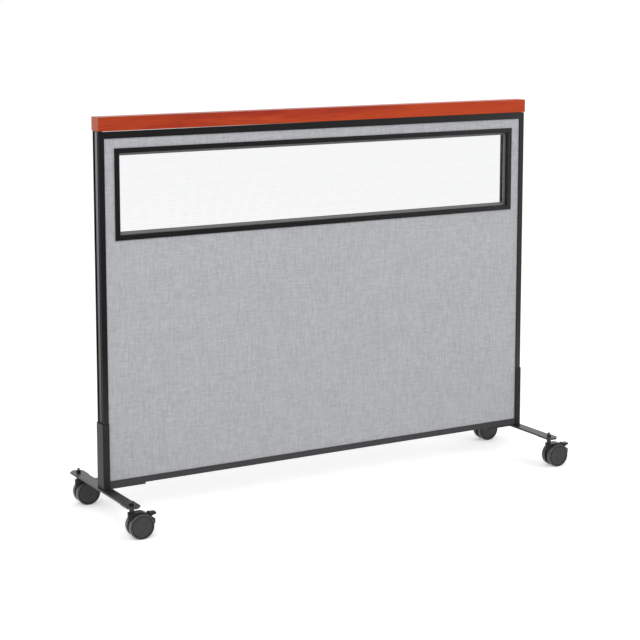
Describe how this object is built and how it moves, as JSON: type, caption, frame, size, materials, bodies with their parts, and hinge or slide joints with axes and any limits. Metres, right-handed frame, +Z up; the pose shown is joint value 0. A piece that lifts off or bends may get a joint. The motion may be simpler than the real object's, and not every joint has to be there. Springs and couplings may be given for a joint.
{
  "type": "partition wall",
  "caption": "Free-standing fabric-covered partition wall with a glazed window, wood cap and T-shaped feet on braked swivel casters.",
  "frame": {"origin": "on the floor under the middle of the panel", "axes": "+X along the wall, +Y through it from the front to the rear, +Z up"},
  "size_m": [1.6102, 0.45, 1.2103],
  "materials": {
    "frame_black": "black powder coat, satin",
    "strip_grey": "grey satin",
    "sheet_black": "black powder coat, satin",
    "fasteners": "zinc-plated",
    "stem_steel": "black zinc",
    "core": "raw hardboard",
    "board": "raw tackable fibreboard",
    "fabric_grey": "heathered grey panel weave",
    "bead_grey": "grey satin",
    "pane_clear": "clear twin-wall sheet",
    "carrier": "mill finish",
    "cap_cherry": "cherry laminate, satin",
    "caster_black": "moulded, satin",
    "wheel_grey": "moulded, satin"
  },
  "bodies": {
    "panel": {"bottom_rail": "frame_black", "cap_carrier": "carrier", "carrier_screws": "fasteners", "caster_nuts": "stem_steel", "core_board": "core", "foot_screws": "fasteners", "frame_screws": "fasteners", "front_fabric": "fabric_grey", "front_glazing_bead": "bead_grey", "front_tack_board": "board", "front_window_bottom": "frame_black", "front_window_left": "frame_black", "front_window_right": "frame_black", "front_window_top": "frame_black", "left_end_strip": "strip_grey", "left_foot": "sheet_black", "left_front_stem": "stem_steel", "left_leg_sleeve": "sheet_black", "left_rear_stem": "stem_steel", "left_stile": "frame_black", "rear_fabric": "fabric_grey", "rear_glazing_bead": "bead_grey", "rear_tack_board": "board", "rear_window_bottom": "frame_black", "rear_window_left": "frame_black", "rear_window_right": "frame_black", "rear_window_top": "frame_black", "right_end_strip": "strip_grey", "right_foot": "sheet_black", "right_front_stem": "stem_steel", "right_leg_sleeve": "sheet_black", "right_rear_stem": "stem_steel", "right_stile": "frame_black", "top_rail": "frame_black", "window_pane": "pane_clear", "wood_cap": "cap_cherry"},
    "left_front_caster": {"left_front_hood": "caster_black", "left_front_axle": "fasteners"},
    "left_front_near_roller": {"left_front_near_wheel": "wheel_grey"},
    "left_front_far_roller": {"left_front_far_wheel": "wheel_grey"},
    "left_front_brake": {"left_front_brake_lever": "caster_black"},
    "left_rear_caster": {"left_rear_hood": "caster_black", "left_rear_axle": "fasteners"},
    "left_rear_near_roller": {"left_rear_near_wheel": "wheel_grey"},
    "left_rear_far_roller": {"left_rear_far_wheel": "wheel_grey"},
    "left_rear_brake": {"left_rear_brake_lever": "caster_black"},
    "right_front_caster": {"right_front_hood": "caster_black", "right_front_axle": "fasteners"},
    "right_front_near_roller": {"right_front_near_wheel": "wheel_grey"},
    "right_front_far_roller": {"right_front_far_wheel": "wheel_grey"},
    "right_front_brake": {"right_front_brake_lever": "caster_black"},
    "right_rear_caster": {"right_rear_hood": "caster_black", "right_rear_axle": "fasteners"},
    "right_rear_near_roller": {"right_rear_near_wheel": "wheel_grey"},
    "right_rear_far_roller": {"right_rear_far_wheel": "wheel_grey"},
    "right_rear_brake": {"right_rear_brake_lever": "caster_black"}
  },
  "joints": [
    {"name": "left_front_swivel", "type": "hinge", "parent": "panel", "child": "left_front_caster", "pos_m": [-0.757, -0.1965, 0], "axis": [0, 0, 1], "continuous": true},
    {"name": "left_front_near_roll", "type": "hinge", "parent": "left_front_caster", "child": "left_front_near_roller", "pos_m": [-0.73202, -0.19759, 0.0375], "axis": [0.0436, 0.999, 0], "continuous": true},
    {"name": "left_front_far_roll", "type": "hinge", "parent": "left_front_caster", "child": "left_front_far_roller", "pos_m": [-0.73202, -0.19759, 0.0375], "axis": [0.0436, 0.999, 0], "continuous": true},
    {"name": "left_front_brake_turn", "type": "hinge", "parent": "left_front_caster", "child": "left_front_brake", "pos_m": [-0.70094, -0.19895, 0.06861], "axis": [0.0436, 0.999, 0], "range_deg": [0, 20]},
    {"name": "left_rear_swivel", "type": "hinge", "parent": "panel", "child": "left_rear_caster", "pos_m": [-0.757, 0.1965, 0], "axis": [0, 0, 1], "continuous": true},
    {"name": "left_rear_near_roll", "type": "hinge", "parent": "left_rear_caster", "child": "left_rear_near_roller", "pos_m": [-0.73202, 0.19541, 0.0375], "axis": [0.0436, 0.999, 0], "continuous": true},
    {"name": "left_rear_far_roll", "type": "hinge", "parent": "left_rear_caster", "child": "left_rear_far_roller", "pos_m": [-0.73202, 0.19541, 0.0375], "axis": [0.0436, 0.999, 0], "continuous": true},
    {"name": "left_rear_brake_turn", "type": "hinge", "parent": "left_rear_caster", "child": "left_rear_brake", "pos_m": [-0.70094, 0.19405, 0.06861], "axis": [0.0436, 0.999, 0], "range_deg": [0, 20]},
    {"name": "right_front_swivel", "type": "hinge", "parent": "panel", "child": "right_front_caster", "pos_m": [0.757, -0.1965, 0], "axis": [0, 0, 1], "continuous": true},
    {"name": "right_front_near_roll", "type": "hinge", "parent": "right_front_caster", "child": "right_front_near_roller", "pos_m": [0.78198, -0.19759, 0.0375], "axis": [0.0436, 0.999, 0], "continuous": true},
    {"name": "right_front_far_roll", "type": "hinge", "parent": "right_front_caster", "child": "right_front_far_roller", "pos_m": [0.78198, -0.19759, 0.0375], "axis": [0.0436, 0.999, 0], "continuous": true},
    {"name": "right_front_brake_turn", "type": "hinge", "parent": "right_front_caster", "child": "right_front_brake", "pos_m": [0.81306, -0.19895, 0.06861], "axis": [0.0436, 0.999, 0], "range_deg": [0, 20]},
    {"name": "right_rear_swivel", "type": "hinge", "parent": "panel", "child": "right_rear_caster", "pos_m": [0.757, 0.1965, 0], "axis": [0, 0, 1], "continuous": true},
    {"name": "right_rear_near_roll", "type": "hinge", "parent": "right_rear_caster", "child": "right_rear_near_roller", "pos_m": [0.78198, 0.19541, 0.0375], "axis": [0.0436, 0.999, 0], "continuous": true},
    {"name": "right_rear_far_roll", "type": "hinge", "parent": "right_rear_caster", "child": "right_rear_far_roller", "pos_m": [0.78198, 0.19541, 0.0375], "axis": [0.0436, 0.999, 0], "continuous": true},
    {"name": "right_rear_brake_turn", "type": "hinge", "parent": "right_rear_caster", "child": "right_rear_brake", "pos_m": [0.81306, 0.19405, 0.06861], "axis": [0.0436, 0.999, 0], "range_deg": [0, 20]}
  ]
}
